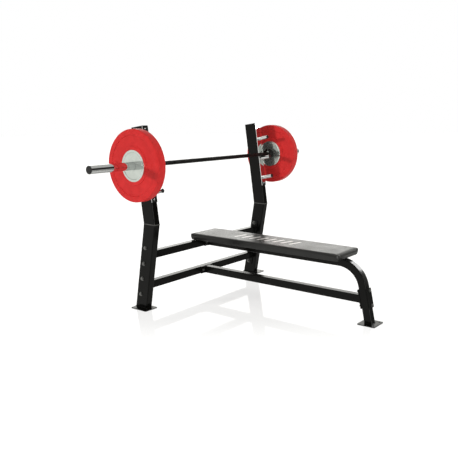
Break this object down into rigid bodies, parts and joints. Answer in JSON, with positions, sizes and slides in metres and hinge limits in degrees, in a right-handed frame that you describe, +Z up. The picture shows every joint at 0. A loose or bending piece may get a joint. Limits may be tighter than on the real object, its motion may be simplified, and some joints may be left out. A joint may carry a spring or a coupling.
{
  "type": "olympic bench press",
  "caption": "Flat weight bench with two leaning uprights whose pegs hold a loaded barbell over a padded board on a bolted tube frame.",
  "frame": {"origin": "on the floor, under the middle of the whole object's box", "axes": "+X along the barbell to the right as seen from the foot end, +Y from the foot end to the head end with the uprights, +Z up"},
  "size_m": [2.2, 1.519, 1.2004],
  "materials": {
    "black_paint": "gloss powder coat",
    "chrome": "polished",
    "satin_steel": "turned and satin plated",
    "black_oxide_steel": "black oxide, knurled grip",
    "zinc_steel": "zinc plated",
    "bronze": "sintered",
    "black_fastener": "black zinc",
    "black_plastic": "moulded",
    "red_rubber": "moulded, semi-matt",
    "plywood": "sanded",
    "black_vinyl": "grained vinyl"
  },
  "bodies": {
    "bench": {"beam_bolts": "black_fastener", "beam_nuts": "black_fastener", "beam_washers": "black_fastener", "crossbar_bolts": "black_fastener", "crossbar_nuts": "black_fastener", "crossbar_washers": "black_fastener", "front_foot_plate": "black_paint", "left_bottom_peg": "chrome", "left_middle_peg": "chrome", "left_peg_plugs": "black_plastic", "left_rear_foot_plate": "black_paint", "left_top_peg": "chrome", "left_upright_cap": "black_plastic", "left_upright_lower": "black_paint", "left_upright_upper": "black_paint", "left_upright_weld": "black_paint", "left_wear_plate": "chrome", "leg_backing_plate": "black_paint", "lower_crossbar": "black_paint", "lower_crossbar_flanges": "black_paint", "pad_board": "plywood", "pad_bolts": "black_fastener", "pad_brackets": "black_paint", "pad_cushion": "black_vinyl", "pad_tee_nuts": "zinc_steel", "right_bottom_peg": "chrome", "right_middle_peg": "chrome", "right_peg_plugs": "black_plastic", "right_rear_foot_plate": "black_paint", "right_top_peg": "chrome", "right_upright_cap": "black_plastic", "right_upright_lower": "black_paint", "right_upright_upper": "black_paint", "right_upright_weld": "black_paint", "right_wear_plate": "chrome", "seat_beam_flange": "black_paint", "seat_beam_leg": "black_paint", "spine_front_flange": "black_paint", "spine_rear_flange": "black_paint", "spine_tube": "black_paint", "upper_crossbar": "black_paint", "upper_crossbar_flanges": "black_paint", "wear_plate_screws": "chrome"},
    "bar": {"bar_retaining_rings": "zinc_steel", "bar_shaft": "black_oxide_steel", "bar_thrust_washers": "zinc_steel"},
    "left_sleeve": {"left_sleeve_bushings": "bronze", "left_sleeve_end_cap": "black_plastic", "left_sleeve_shoulder": "black_oxide_steel", "left_sleeve_tube": "chrome"},
    "right_sleeve": {"right_sleeve_bushings": "bronze", "right_sleeve_end_cap": "black_plastic", "right_sleeve_shoulder": "black_oxide_steel", "right_sleeve_tube": "chrome"},
    "left_plate": {"left_plate_hub": "satin_steel", "left_plate_rubber": "red_rubber"},
    "right_plate": {"right_plate_hub": "satin_steel", "right_plate_rubber": "red_rubber"}
  },
  "joints": [
    {"name": "bar_lift_off", "type": "slide", "parent": "bench", "child": "bar", "axis": [0, -0.766, 0.6428], "range_m": [0, 0.35]},
    {"name": "left_sleeve_spin", "type": "hinge", "parent": "bar", "child": "left_sleeve", "pos_m": [-0.66, 0.5345, 0.958], "axis": [1, 0, 0], "continuous": true},
    {"name": "left_plate_slide", "type": "slide", "parent": "left_sleeve", "child": "left_plate", "axis": [-1, 0, 0], "range_m": [0, 0.41]},
    {"name": "right_sleeve_spin", "type": "hinge", "parent": "bar", "child": "right_sleeve", "pos_m": [0.66, 0.5345, 0.958], "axis": [1, 0, 0], "continuous": true},
    {"name": "right_plate_slide", "type": "slide", "parent": "right_sleeve", "child": "right_plate", "axis": [1, 0, 0], "range_m": [0, 0.41]}
  ]
}
